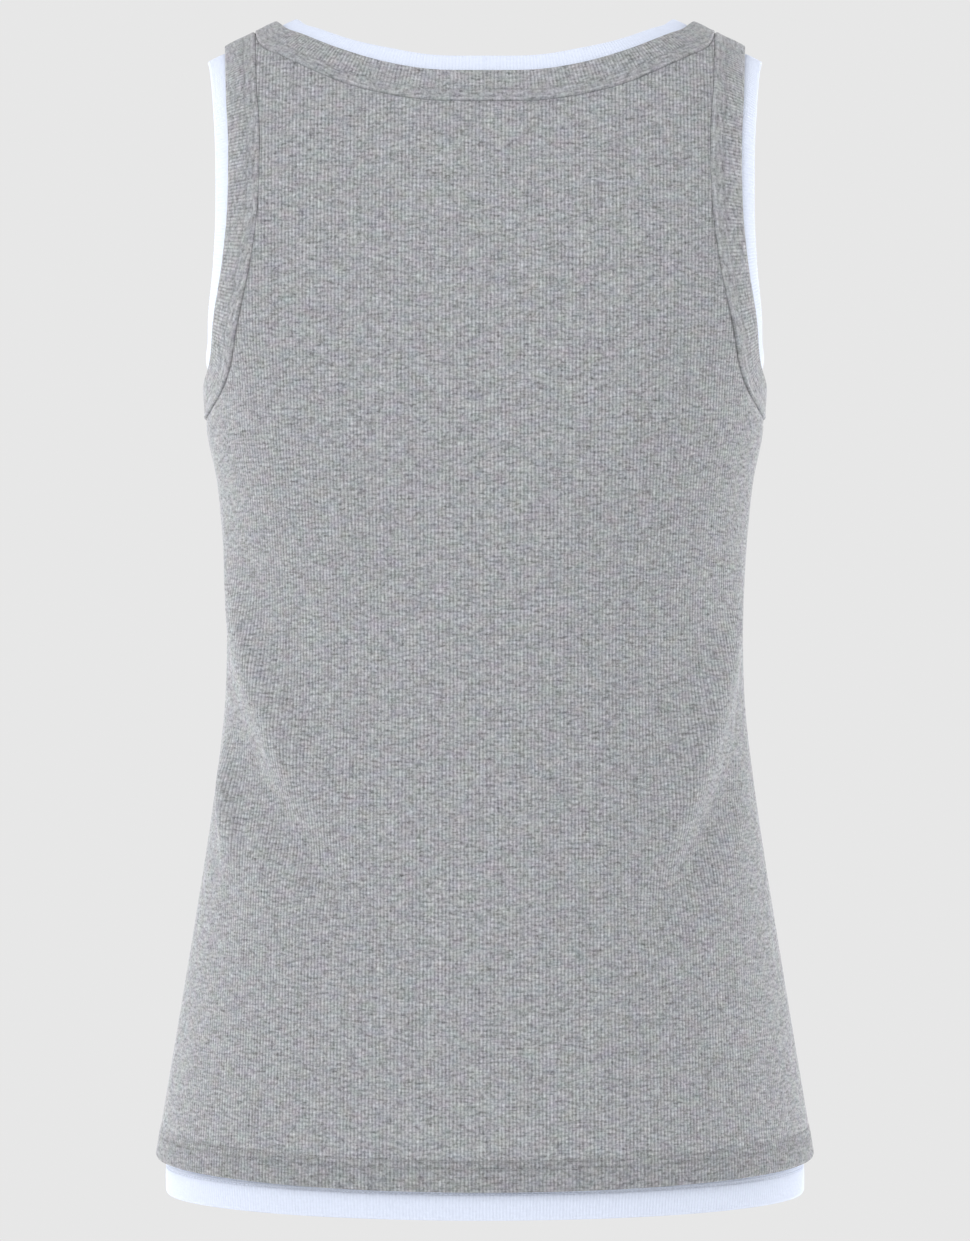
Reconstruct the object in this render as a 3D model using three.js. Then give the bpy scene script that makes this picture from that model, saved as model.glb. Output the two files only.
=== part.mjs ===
// Two-layer ribbed tank top: a grey tank over a slightly larger white one, filled out as worn.
// Millimetres, +Z up. The back faces -Y, the front faces +Y, and the wearer's left is at -X.
// The origin lies midway between the two straps, at the middle of their height.

import * as THREE from "three";

const BACK = -1;
const FRONT = 1;

// Shoulder line, from the neck end of a grey strap to its arm end
const STRAP = { neckX: 112.3, neckZ: 6.7, armX: 140.4, armZ: -6.8 };
const SHOULDER_SLOPE = (STRAP.neckZ - STRAP.armZ) / (STRAP.armX - STRAP.neckX);
const NAPE = 70;
// Drop in which the cloth rolls from the shoulder line to its full depth
const SHOULDER_ROLL = 50;

// The worn form at each height: half its width, its depth behind and in front of the side
// seams, and how square each half of its section is (2 is an ellipse)
const FORM = [
  { z: 20, half: 162, back: 50, front: 48, backSquare: 3.0, frontSquare: 2.5 },
  { z: 0, half: 160.6, back: 60, front: 54, backSquare: 3.0, frontSquare: 2.5 },
  { z: -50, half: 160.4, back: 79, front: 68, backSquare: 3.0, frontSquare: 2.5 },
  { z: -100, half: 160.8, back: 96, front: 86, backSquare: 3.0, frontSquare: 2.5 },
  { z: -130, half: 159.2, back: 102, front: 97, backSquare: 3.0, frontSquare: 2.5 },
  { z: -160, half: 158.2, back: 106, front: 108, backSquare: 2.9, frontSquare: 2.4 },
  { z: -190, half: 151.2, back: 108, front: 116, backSquare: 2.8, frontSquare: 2.3 },
  { z: -215, half: 149.6, back: 108, front: 120, backSquare: 2.6, frontSquare: 2.25 },
  { z: -240, half: 144.6, back: 106, front: 120, backSquare: 2.4, frontSquare: 2.2 },
  { z: -265, half: 142.0, back: 103, front: 115, backSquare: 2.2, frontSquare: 2.1 },
  { z: -295, half: 140.0, back: 100, front: 105, backSquare: 2.0, frontSquare: 2.0 },
  { z: -327, half: 139.3, back: 98, front: 98, backSquare: 1.9, frontSquare: 2.0 },
  { z: -360, half: 140.3, back: 99, front: 97, backSquare: 1.9, frontSquare: 2.0 },
  { z: -390, half: 143.4, back: 102, front: 99, backSquare: 1.95, frontSquare: 2.0 },
  { z: -435, half: 149.6, back: 108, front: 103, backSquare: 2.0, frontSquare: 2.0 },
  { z: -500, half: 160.0, back: 115, front: 108, backSquare: 2.0, frontSquare: 2.0 },
  { z: -565, half: 170.8, back: 119, front: 111, backSquare: 2.0, frontSquare: 2.0 },
  { z: -605, half: 177.6, back: 120, front: 112, backSquare: 2.0, frontSquare: 2.0 },
  { z: -640, half: 183.5, back: 121, front: 113, backSquare: 2.0, frontSquare: 2.0 },
];

// Free edge of the grey arm binding, from the underarm up to the strap: height, and how far
// behind or before the side seam it lies, as a share of the form's depth
const ARM_EDGE = {
  [BACK]: [
    { z: -191, share: 0 },
    { z: -188.5, share: 0.3 },
    { z: -177, share: 0.525 },
    { z: -150, share: 0.652 },
    { z: -110, share: 0.73 },
    { z: -70, share: 0.738 },
    { z: -38, share: 0.72 },
    { z: -16, share: 0.705 },
  ],
  [FRONT]: [
    { z: -191, share: 0 },
    { z: -188.5, share: 0.31 },
    { z: -178, share: 0.55 },
    { z: -151, share: 0.67 },
    { z: -112, share: 0.733 },
    { z: -72, share: 0.72 },
    { z: -38, share: 0.675 },
    { z: -15, share: 0.65 },
  ],
};

// Free edge of the grey neck binding, from the centre out to the strap
const NECK_EDGE = {
  [BACK]: [
    { x: 0, z: -26.9 },
    { x: 28, z: -26.4 },
    { x: 54, z: -21.8 },
    { x: 78, z: -13.8 },
    { x: 97, z: -4.6 },
    { x: 107.5, z: 1.5 },
  ],
  [FRONT]: [
    { x: 0, z: -113 },
    { x: 30, z: -107.5 },
    { x: 55, z: -91 },
    { x: 72, z: -68 },
    { x: 83.5, z: -43 },
    { x: 92.5, z: -21 },
    { x: 102, z: -4.5 },
  ],
};

// Hems: height at the side seams, how much lower the centres hang, and depth of the turn-up
const HEM_TURN = 16;
const HEM_STEP = 2;
const HEM_WALL = 2.1;

// The two layers: how far the edges stand out past the grey ones, the hem's height and dip,
// and how far the panel's outer face lies under the form at each height
const LAYERS = {
  outer: {
    colour: 0xa2a4a7,
    standOut: { arm: 0, neck: 0 },
    binding: { arm: 17, neck: 18 },
    hem: -603.5,
    dip: 6.7,
    proud: 0.6,
    under: [
      { z: 20, gap: 0 },
      { z: -640, gap: 0 },
    ],
  },
  inner: {
    colour: 0xe4e9f8,
    standOut: { arm: 12.6, neck: 10.4 },
    binding: { arm: 17, neck: 18 },
    hem: -622,
    dip: 3.5,
    proud: 0.4,
    under: [
      { z: 20, gap: 3.5 },
      { z: -60, gap: 3.7 },
      { z: -150, gap: 4.1 },
      { z: -200, gap: 4.7 },
      { z: -330, gap: 5.3 },
      { z: -460, gap: 5.4 },
      { z: -560, gap: 5.6 },
      { z: -605, gap: 6.2 },
      { z: -625, gap: 9.3 },
      { z: -640, gap: 11 },
    ],
  },
};
const PANEL_WALL = 1.2;
const BINDING_WALL = 2.4;
const BINDING_CROWN = 0.25;
// Arm bindings and the white edge inside them are wider behind the arm than at the underarm
// and the shoulder, by this share at the most
const ARM_SWELL = 0.09;
// Neck bindings narrow beside the arm ones on the strap: by this share, from this far along
const NECK_TAPER = 0.3;
const TAPER_START = 0.72;
// Clearance at the side and shoulder seams, and the wider one a panel keeps from a binding,
// since straight mesh edges cut the curves between them
const SEAM_GAP = 0.3;
const BINDING_GAP = 0.65;

// Drag lines pulled from the side seams in towards the small of the back: three points each,
// as distance round from the centre and height, with the line's half width and its rise
const FOLDS = [
  { side: BACK, r0: -172, z0: -268, r1: -140, z1: -345, r2: -98, z2: -420, width: 11, rise: 4 },
  { side: BACK, r0: -160, z0: -362, r1: -118, z1: -425, r2: -56, z2: -480, width: 15, rise: -3 },
  { side: BACK, r0: -168, z0: -378, r1: -163, z1: -412, r2: -150, z2: -452, width: 8, rise: 2.5 },
  { side: BACK, r0: 172, z0: -290, r1: 132, z1: -360, r2: 92, z2: -460, width: 11, rise: 4 },
  { side: BACK, r0: 160, z0: -392, r1: 124, z1: -432, r2: 84, z2: -482, width: 12, rise: -3 },
  { side: FRONT, r0: -176, z0: -262, r1: -140, z1: -318, r2: -92, z2: -352, width: 12, rise: 4 },
  { side: FRONT, r0: -168, z0: -330, r1: -130, z1: -372, r2: -70, z2: -404, width: 13, rise: -3 },
  { side: FRONT, r0: 178, z0: -256, r1: 146, z1: -306, r2: 100, z2: -344, width: 11, rise: 4 },
  { side: FRONT, r0: 170, z0: -344, r1: 128, z1: -388, r2: 78, z2: -424, width: 14, rise: -3 },
];
const FOLD_STEPS = 20;
const FOLD_TOP = -225;
const FOLD_FADE = 28;

// Mesh steps: along half an edge curve, round a section, across half a panel and down it
const EDGE_STEPS = 48;
const SECTION_STEPS = 64;
const DETAIL = {
  outer: { columns: 14, armRows: 17, bodyRows: 14 },
  inner: { columns: 13, armRows: 15, bodyRows: 11 },
};
// How far columns gather towards the side seams, rows towards both ends of an armhole, and
// how many edge steps apart a binding's sections stand past the end of the panel
const COLUMN_GATHER = 1.35;
const ROW_GATHER = 0.7;
const TIP_SPACING = 2;

// Passes and step lengths of the numeric solutions
const SOLVE_PASSES = 12;
const SIDEWAYS_PASSES = 6;
const CHART_PROBE = 0.001;
const FORM_PROBE = 0.05;

// A smooth curve through a table's rows, which run from the highest z down
function tableAt(rows, key, z) {
  if (z >= rows[0].z) return rows[0][key];
  if (z <= rows.at(-1).z) return rows.at(-1)[key];
  const i = rows.findIndex((row) => row.z < z);
  const slope = (k) => {
    const above = rows[Math.max(k - 1, 0)];
    const below = rows[Math.min(k + 1, rows.length - 1)];
    return (above[key] - below[key]) / (above.z - below.z);
  };
  const [above, below] = [rows[i - 1], rows[i]];
  const span = below.z - above.z;
  const t = (z - above.z) / span;
  const eased = t * t * (3 - 2 * t);
  const leaving = t * (1 - t) * (1 - t) * span * slope(i - 1);
  const arriving = t * t * (t - 1) * span * slope(i);
  return above[key] + (below[key] - above[key]) * eased + leaving + arriving;
}

function formAt(side, z) {
  const half = tableAt(FORM, "half", z);
  const depth = tableAt(FORM, side === BACK ? "back" : "front", z);
  const square = tableAt(FORM, side === BACK ? "backSquare" : "frontSquare", z);
  return { half, depth, square };
}

// Height of the shoulder line, which falls away from the neck and is rounded off between them
function shoulderLine(x) {
  const out = Math.abs(x);
  const soft = out < NAPE ? (out * out) / (2 * NAPE) + NAPE / 2 : out;
  return STRAP.neckZ - SHOULDER_SLOPE * (soft - STRAP.neckX);
}

// Below the shoulder line the cloth rolls over like a quarter round, then hangs
function dropOf(roll) {
  const turn = Math.abs(roll);
  const rolled = turn < Math.PI / 2 ? 1 - Math.cos(turn) : 1 + turn - Math.PI / 2;
  return SHOULDER_ROLL * rolled;
}

function rollOf(drop) {
  const rolled = Math.max(drop, 0) / SHOULDER_ROLL;
  return rolled < 1 ? Math.acos(1 - rolled) : rolled - 1 + Math.PI / 2;
}

const fullness = (roll) => (Math.abs(roll) < Math.PI / 2 ? Math.sin(roll) : Math.sign(roll));

// How deep the section is at x, as a share of its depth at the centre, and the reverse
const shareAt = ({ half, square }, x) =>
  Math.max(0, 1 - (Math.abs(x) / half) ** square) ** (1 / square);
const halfWidthAt = ({ half, square }, share) =>
  half * Math.max(0, 1 - Math.abs(share) ** square) ** (1 / square);

// A point on the form from its share of the depth and its roll, good near the side seams
function armPoint(side, share, roll) {
  let z = -dropOf(roll);
  let x = 0;
  for (let pass = 0; pass < SOLVE_PASSES; pass += 1) {
    x = halfWidthAt(formAt(side, z), share);
    z = shoulderLine(x) - dropOf(roll);
  }
  return new THREE.Vector3(x, side * formAt(side, z).depth * fullness(roll) * share, z);
}

// A point on the form from its distance across and its roll, good near the centre
function neckPoint(side, x, roll) {
  const z = shoulderLine(x) - dropOf(roll);
  const form = formAt(side, z);
  return new THREE.Vector3(x, side * form.depth * fullness(roll) * shareAt(form, x), z);
}

// The direction that faces away from the body at a point of the form
function outward(side, point) {
  const halfDepthSquared = (x, z) => {
    const form = formAt(side, z);
    const drop = shoulderLine(x) - z;
    const rolled = drop < SHOULDER_ROLL ? 1 - (1 - drop / SHOULDER_ROLL) ** 2 : 1;
    return 0.5 * (form.depth * shareAt(form, x)) ** 2 * rolled;
  };
  const { x, y, z } = point;
  const reach = FORM_PROBE;
  const across = halfDepthSquared(x + reach, z) - halfDepthSquared(x - reach, z);
  const upward = halfDepthSquared(x, z + reach) - halfDepthSquared(x, z - reach);
  return new THREE.Vector3(-across / (2 * reach), y, -upward / (2 * reach)).normalize();
}

// A line on the form in its chart's two coordinates, moved sideways over the cloth by a
// distance that may change along it
function moved(chart, line, distanceAt) {
  const probe = CHART_PROBE;
  let now = line;
  for (let pass = 0; pass < SIDEWAYS_PASSES; pass += 1) {
    now = now.map(([a, b], i) => {
      const before = now[i - 1] ?? [-now[1][0], now[1][1]];
      const after = now[i + 1] ?? [now[i - 1][0], -now[i - 1][1]];
      const alongA = chart(a + probe, b).sub(chart(a - probe, b)).divideScalar(2 * probe);
      const alongB = chart(a, b + probe).sub(chart(a, b - probe)).divideScalar(2 * probe);
      const [aa, ab, bb] = [alongA.dot(alongA), alongA.dot(alongB), alongB.dot(alongB)];
      const [da, db] = [after[0] - before[0], after[1] - before[1]];
      const [wayA, wayB] = [-(ab * da + bb * db), aa * da + ab * db];
      const length = Math.sqrt(aa * wayA ** 2 + 2 * ab * wayA * wayB + bb * wayB ** 2);
      const share = distanceAt(i) / SIDEWAYS_PASSES / length;
      return [a + wayA * share, b + wayB * share];
    });
  }
  return now;
}

// A smooth line through chart points that meets its own mirror image squarely at both ends
function smoothLine(points) {
  const last = points.length - 1;
  const start = [-points[1][0], points[1][1]];
  const end = [points[last - 1][0], -points[last - 1][1]];
  const spline = new THREE.SplineCurve(
    [start, ...points, end].map(([a, b]) => new THREE.Vector2(a, b)),
  );
  const spans = last + 2;
  return Array.from({ length: EDGE_STEPS + 1 }, (_, i) => {
    const at = spline.getPoint((1 + (last * i) / EDGE_STEPS) / spans);
    return [at.x, at.y];
  });
}

// The grey arm edge from underarm to strap, and the grey neck edge from centre to strap
function armEdge(side) {
  const strapForm = formAt(side, STRAP.armZ);
  const points = ARM_EDGE[side].map(({ z, share }) => {
    const x = halfWidthAt(formAt(side, z), share);
    return [share, rollOf(shoulderLine(x) - z)];
  });
  return smoothLine([...points, [shareAt(strapForm, STRAP.armX), 0]]);
}

function neckEdge(side) {
  const points = NECK_EDGE[side].map(({ x, z }) => [x, rollOf(shoulderLine(x) - z)]);
  return smoothLine([...points, [STRAP.neckX, 0]]);
}

// One edge of a layer: its lines at several distances from the grey edge share their steps
function edgeLines(layer, side, kind) {
  const chart = (a, b) => (kind === "arm" ? armPoint : neckPoint)(side, a, b);
  const grey = kind === "arm" ? armEdge(side) : neckEdge(side);
  const lineAt = (distance) => {
    const line = moved(chart, grey, (i) => {
      const along = i / EDGE_STEPS;
      if (kind === "arm") {
        return (distance - layer.standOut.arm) * (1 + ARM_SWELL * Math.sin(Math.PI * along));
      }
      const taper = NECK_TAPER * THREE.MathUtils.smoothstep(along, TAPER_START, 1);
      return distance * (1 - taper) - layer.standOut.neck;
    });
    return (index) => {
      const i = Math.min(Math.floor(index), EDGE_STEPS - 1);
      const t = index - i;
      const [from, to] = [line[i], line[i + 1]];
      return chart(from[0] + (to[0] - from[0]) * t, from[1] + (to[1] - from[1]) * t);
    };
  };
  return {
    free: lineAt(0),
    middle: lineAt(layer.binding[kind] / 2),
    seam: lineAt(layer.binding[kind]),
    panel: lineAt(layer.binding[kind] + BINDING_GAP),
  };
}

// Half of a level section, from the centre round to a share of the depth, with its lengths
function sectionTo(side, z, endShare) {
  const form = formAt(side, z);
  const endAngle = Math.acos(Math.min(1, endShare ** (form.square / 2)));
  const points = [];
  let length = 0;
  for (let i = 0; i <= SECTION_STEPS; i += 1) {
    const angle = (endAngle * i) / SECTION_STEPS;
    const x = form.half * Math.sin(angle) ** (2 / form.square);
    const share = Math.cos(angle) ** (2 / form.square);
    const y = form.depth * fullness(rollOf(shoulderLine(x) - z)) * share;
    if (i > 0) length += Math.hypot(x - points[i - 1].x, y - points[i - 1].y);
    points.push({ x, y, length });
  }
  return { points, length };
}

function alongSection(section, key, value) {
  const i = Math.max(1, section.points.findIndex((point) => point[key] >= value));
  const [from, to] = [section.points[i - 1], section.points[i]];
  const t = (value - from[key]) / (to[key] - from[key]);
  return {
    x: from.x + (to.x - from.x) * t,
    y: from.y + (to.y - from.y) * t,
    length: from.length + (to.length - from.length) * t,
  };
}

// How far the drag lines lift the cloth at a distance round from the centre
function foldRise(side, round, z, sideRound) {
  const seamFade = THREE.MathUtils.smoothstep(sideRound - Math.abs(round), 0, FOLD_FADE);
  const topFade = THREE.MathUtils.smoothstep(FOLD_TOP - z, 0, FOLD_FADE);
  let rise = 0;
  for (const fold of FOLDS.filter((row) => row.side === side)) {
    const line = new THREE.QuadraticBezierCurve(
      new THREE.Vector2(fold.r0, fold.z0),
      new THREE.Vector2(fold.r1, fold.z1),
      new THREE.Vector2(fold.r2, fold.z2),
    );
    let strongest = 0;
    for (let i = 1; i < FOLD_STEPS; i += 1) {
      const at = line.getPoint(i / FOLD_STEPS);
      const away = at.distanceTo(new THREE.Vector2(round, z)) / fold.width;
      const body = Math.sin((Math.PI * i) / FOLD_STEPS);
      strongest = Math.max(strongest, body * Math.exp(-away * away));
    }
    rise += fold.rise * strongest;
  }
  return rise * seamFade * topFade;
}

// Half a panel's seams, and its level sections from the centre to them
function panelOutline(layer, side) {
  const arm = edgeLines(layer, side, "arm").panel;
  const neck = edgeLines(layer, side, "neck").panel;
  const armPoints = Array.from({ length: EDGE_STEPS + 1 }, (_, i) => arm(i));
  const [underarm, armTop] = [armPoints[0].z, armPoints.at(-1).z];
  const seamShare = (z) => {
    if (z <= underarm) return 0;
    if (z >= armTop) return shareAt(formAt(side, z), NAPE + (shoulderLine(NAPE) - z) / SHOULDER_SLOPE);
    const i = armPoints.findIndex((point) => point.z > z);
    const [below, above] = [armPoints[i - 1], armPoints[i]];
    const t = (z - below.z) / (above.z - below.z);
    return shareAt(formAt(side, z), below.x + (above.x - below.x) * t);
  };
  const sectionAt = (z) => sectionTo(side, z, seamShare(z));

  // Along the neck seam, each point's share of the way round to the arm seam
  const neckShares = [];
  for (let i = 0; i <= EDGE_STEPS; i += 1) {
    const point = neck(i);
    const section = sectionAt(point.z);
    const past = point.x - section.points.at(-1).x;
    if (i === EDGE_STEPS || past >= 0) {
      neckShares.push(1 + Math.max(past, 0) / section.length);
      break;
    }
    neckShares.push(alongSection(section, "x", point.x).length / section.length);
  }
  return { arm, neck, armPoints, underarm, sectionAt, neckShares };
}

// The step along the neck seam that lies a given share of the way round
function neckIndex(outline, share) {
  const shares = outline.neckShares;
  const i = Math.max(1, shares.findIndex((value) => value >= share));
  return i - 1 + (share - shares[i - 1]) / (shares[i] - shares[i - 1]);
}

// Even steps, drawn towards a spread that gathers them at both ends
const gathered = (t) => THREE.MathUtils.lerp(t, (1 - Math.cos(Math.PI * t)) / 2, ROW_GATHER);

// Steps down the arm seam: from the corner at the top of the panel to the underarm
function armIndices(outline, rows) {
  const { z } = outline.neck(neckIndex(outline, 1));
  const above = outline.armPoints.findIndex((point) => point.z > z);
  let top = EDGE_STEPS;
  if (above > 0) {
    const [from, to] = [outline.armPoints[above - 1].z, outline.armPoints[above].z];
    top = above - 1 + (z - from) / (to - from);
  }
  return Array.from({ length: rows + 1 }, (_, j) => top * (1 - gathered(j / rows)));
}

const columnShare = (detail, k) => 1 - (1 - k / detail.columns) ** COLUMN_GATHER;

// A closed mesh whose faces point out, from corner points and four-sided faces
function closedMesh(name, colour, points, quads) {
  const flat = points.flatMap((point) => point.toArray());
  const faces = quads.flatMap(([a, b, c, d]) => [a, b, c, a, c, d]);
  let volume = 0;
  for (let i = 0; i < faces.length; i += 3) {
    const [a, b, c] = [points[faces[i]], points[faces[i + 1]], points[faces[i + 2]]];
    volume += a.dot(new THREE.Vector3().crossVectors(b, c));
  }
  const geometry = new THREE.BufferGeometry();
  geometry.setAttribute("position", new THREE.Float32BufferAttribute(flat, 3));
  geometry.setIndex(volume > 0 ? faces : faces.reverse());
  geometry.computeVertexNormals();
  const material = new THREE.MeshStandardMaterial({ color: colour, roughness: 0.9, metalness: 0 });
  const mesh = new THREE.Mesh(geometry, material);
  mesh.name = name;
  return mesh;
}

// Moves a point of the form in or out, and keeps it clear of the side and shoulder seams
function settled(side, point, distance) {
  const placed = point.clone().addScaledVector(outward(side, point), distance);
  if (side * placed.y < SEAM_GAP / 2) placed.y = (side * SEAM_GAP) / 2;
  return placed;
}

const mirrored = (point) => new THREE.Vector3(-point.x, point.y, point.z);

// A front or back panel: a wall between two faces of rows and columns, thicker at its hem.
// Rows lie level at the underarm, follow the neck above it and the hem's dip below it
function makePanel(name, layer, detail, side) {
  const outline = panelOutline(layer, side);
  const { underarm } = outline;
  const indices = armIndices(outline, detail.armRows);
  const corner = outline.neck(neckIndex(outline, 1));
  const armStops = indices.slice(indices[0] < EDGE_STEPS ? 1 : 0).map(outline.arm);
  const bodyDrop = underarm - layer.hem - HEM_TURN - HEM_STEP;
  const body = Array.from({ length: detail.bodyRows }, (_, j) => {
    return underarm - (bodyDrop * (j + 1)) / detail.bodyRows;
  });
  const heights = [corner.z, ...armStops.map((point) => point.z), ...body];
  heights.push(layer.hem + HEM_TURN, layer.hem);

  const faces = [[], []];
  for (let k = -detail.columns; k <= detail.columns; k += 1) {
    const share = columnShare(detail, Math.abs(k));
    const top = outline.neck(neckIndex(outline, share));
    const hem = layer.hem - layer.dip * (1 - share * share);
    heights.forEach((height, j) => {
      const [sideEnd, end] = height > underarm ? [corner.z, top.z] : [layer.hem, hem];
      const z = underarm + ((height - underarm) * (end - underarm)) / (sideEnd - underarm);
      const section = outline.sectionAt(z);
      const at = alongSection(section, "length", share * section.length);
      const edge = j === 0 ? top : share === 1 && armStops[j - 1];
      const point = edge || new THREE.Vector3(at.x, side * Math.abs(at.y), z);
      const round = Math.sign(k) * at.length;
      const rise = foldRise(side, round, z, section.length) - tableAt(layer.under, "gap", z);
      const wall = j > heights.length - 3 ? HEM_WALL : PANEL_WALL;
      [rise, rise - wall].forEach((distance, face) => {
        const placed = settled(side, point, distance);
        faces[face].push(k < 0 ? mirrored(placed) : placed);
      });
    });
  }
  return closedMesh(name, layer.colour, faces.flat(), wallQuads(2 * detail.columns + 1, heights.length));
}

// The faces of a wall between two grids of points, with its four edges closed
function wallQuads(columns, rows) {
  const at = (face, k, j) => face * columns * rows + k * rows + j;
  const quads = [];
  for (let k = 0; k < columns - 1; k += 1) {
    for (let j = 0; j < rows - 1; j += 1) {
      const corners = [[k, j], [k, j + 1], [k + 1, j + 1], [k + 1, j]];
      if (k >= (columns - 1) / 2) corners.push(corners.shift());
      quads.push(corners.map(([c, r]) => at(0, c, r)));
      quads.push(corners.map(([c, r]) => at(1, c, r)).reverse());
    }
    quads.push([at(0, k, 0), at(0, k + 1, 0), at(1, k + 1, 0), at(1, k, 0)]);
    quads.push([at(0, k + 1, rows - 1), at(0, k, rows - 1), at(1, k, rows - 1), at(1, k + 1, rows - 1)]);
  }
  for (let j = 0; j < rows - 1; j += 1) {
    quads.push([at(0, 0, j + 1), at(0, 0, j), at(1, 0, j), at(1, 0, j + 1)]);
    const last = columns - 1;
    quads.push([at(0, last, j), at(0, last, j + 1), at(1, last, j + 1), at(1, last, j)]);
  }
  return quads;
}

// Sections of a binding along half an edge, from its lowest point up to the shoulder
function bindingSections(layer, side, kind, indices) {
  const lines = edgeLines(layer, side, kind);
  return indices.map((index) => {
    const rims = [lines.free(index), lines.middle(index), lines.seam(index)];
    const distance = (point) => layer.proud - tableAt(layer.under, "gap", point.z);
    const place = (point, extra) =>
      point.clone().addScaledVector(outward(side, point), distance(point) + extra);
    const outer = rims.map((point, i) => place(point, i === 1 ? BINDING_CROWN : 0));
    const inner = rims.map((point) => place(point, -BINDING_WALL)).reverse();
    return [...outer, ...inner];
  });
}

// Where a binding's sections stand: at the panel's own rows or columns, then up to the shoulder
function bindingSteps(layer, detail, side, kind) {
  const outline = panelOutline(layer, side);
  const along =
    kind === "arm"
      ? armIndices(outline, detail.armRows).reverse()
      : Array.from({ length: detail.columns + 1 }, (_, k) => neckIndex(outline, columnShare(detail, k)));
  const last = along.at(-1);
  const steps = Math.ceil((EDGE_STEPS - last) / TIP_SPACING);
  for (let i = 1; i <= steps; i += 1) along.push(last + ((EDGE_STEPS - last) * i) / steps);
  return along;
}

// A binding's sections on the wearer's right: up the back to the shoulder and down the front
function rightHalf(layer, detail, kind) {
  const half = (side) =>
    bindingSections(layer, side, kind, bindingSteps(layer, detail, side, kind));
  return [...half(BACK), ...half(FRONT).reverse().slice(1)];
}

// A binding closed into a ring from its sections
function makeRing(name, colour, sections) {
  const size = sections[0].length;
  const at = (i, c) => (i % sections.length) * size + (c % size);
  const quads = [];
  for (let i = 0; i < sections.length; i += 1) {
    for (let c = 0; c < size; c += 1) {
      quads.push([at(i, c), at(i + 1, c), at(i + 1, c + 1), at(i, c + 1)]);
    }
  }
  return closedMesh(name, colour, sections.flat(), quads);
}

const tankTop = new THREE.Group();
for (const [name, layer] of Object.entries(LAYERS)) {
  const detail = DETAIL[name];
  const neck = rightHalf(layer, detail, "neck");
  const neckLeft = neck.map((section) => section.map(mirrored)).reverse();
  const arm = rightHalf(layer, detail, "arm").slice(0, -1);
  const armLeft = arm.map((section) => section.map(mirrored));
  tankTop.add(
    makePanel(`${name}_back`, layer, detail, BACK),
    makePanel(`${name}_front`, layer, detail, FRONT),
    makeRing(`${name}_neck_band`, layer.colour, [...neck, ...neckLeft.slice(1, -1)]),
    makeRing(`${name}_arm_band_right`, layer.colour, arm),
    makeRing(`${name}_arm_band_left`, layer.colour, armLeft),
  );
}

export default tankTop;
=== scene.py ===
"""Cloth, bindings, stitching and studio for a two-layer ribbed tank top.

A grey marl tank lies over a slightly larger white one, filled out as worn. Sizes in the tables
are millimetres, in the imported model's frame: the back faces -Y and the straps' middle is the
origin. Each piece of cloth is a closed shell that follows its CAD solid, with knitted ribs.
"""

import math

import bpy
import numpy as np
from bpy.props import FloatProperty, FloatVectorProperty, PointerProperty
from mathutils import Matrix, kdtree


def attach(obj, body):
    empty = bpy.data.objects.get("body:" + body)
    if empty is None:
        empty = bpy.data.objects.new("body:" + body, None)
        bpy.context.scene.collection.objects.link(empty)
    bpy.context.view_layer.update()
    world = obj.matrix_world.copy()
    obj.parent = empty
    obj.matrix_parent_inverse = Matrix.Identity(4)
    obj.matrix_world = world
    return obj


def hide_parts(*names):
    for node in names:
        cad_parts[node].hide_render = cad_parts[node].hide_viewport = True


bl_info = {
    "name": "Two-layer ribbed tank top",
    "version": (1, 0, 0),
    "blender": (4, 5, 0),
    "location": "View3D > Sidebar > Tank Top",
    "description": "Knits the cloth, bindings and stitching of a layered tank top",
    "category": "Object",
}

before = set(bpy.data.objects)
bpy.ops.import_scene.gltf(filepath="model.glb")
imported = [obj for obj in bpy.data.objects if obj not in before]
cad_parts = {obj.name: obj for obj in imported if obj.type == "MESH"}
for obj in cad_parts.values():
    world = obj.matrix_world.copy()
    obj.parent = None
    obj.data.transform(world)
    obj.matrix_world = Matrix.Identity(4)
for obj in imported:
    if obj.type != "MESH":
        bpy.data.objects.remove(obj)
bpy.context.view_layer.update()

MM = 0.001
BACK, FRONT = -1, 1

# The worn form, as in the CAD source
STRAP_NECK = (112.3, 6.7)
STRAP_ARM = (140.4, -6.8)
SHOULDER_SLOPE = (STRAP_NECK[1] - STRAP_ARM[1]) / (STRAP_ARM[0] - STRAP_NECK[0])
NAPE = 70.0
SHOULDER_ROLL = 50.0
# Above this height the ribs run straight up; below it they keep their distance round
STRAIGHT_ABOVE = -60.0

# height, half width, back depth, front depth, back squareness, front squareness
FORM = np.array(
    [
        (20, 162, 50, 48, 3.0, 2.5),
        (0, 160.6, 60, 54, 3.0, 2.5),
        (-50, 160.4, 79, 68, 3.0, 2.5),
        (-100, 160.8, 96, 86, 3.0, 2.5),
        (-130, 159.2, 102, 97, 3.0, 2.5),
        (-160, 158.2, 106, 108, 2.9, 2.4),
        (-190, 151.2, 108, 116, 2.8, 2.3),
        (-215, 149.6, 108, 120, 2.6, 2.25),
        (-240, 144.6, 106, 120, 2.4, 2.2),
        (-265, 142.0, 103, 115, 2.2, 2.1),
        (-295, 140.0, 100, 105, 2.0, 2.0),
        (-327, 139.3, 98, 98, 1.9, 2.0),
        (-360, 140.3, 99, 97, 1.9, 2.0),
        (-390, 143.4, 102, 99, 1.95, 2.0),
        (-435, 149.6, 108, 103, 2.0, 2.0),
        (-500, 160.0, 115, 108, 2.0, 2.0),
        (-565, 170.8, 119, 111, 2.0, 2.0),
        (-605, 177.6, 120, 112, 2.0, 2.0),
        (-640, 183.5, 121, 113, 2.0, 2.0),
    ]
)

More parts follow.
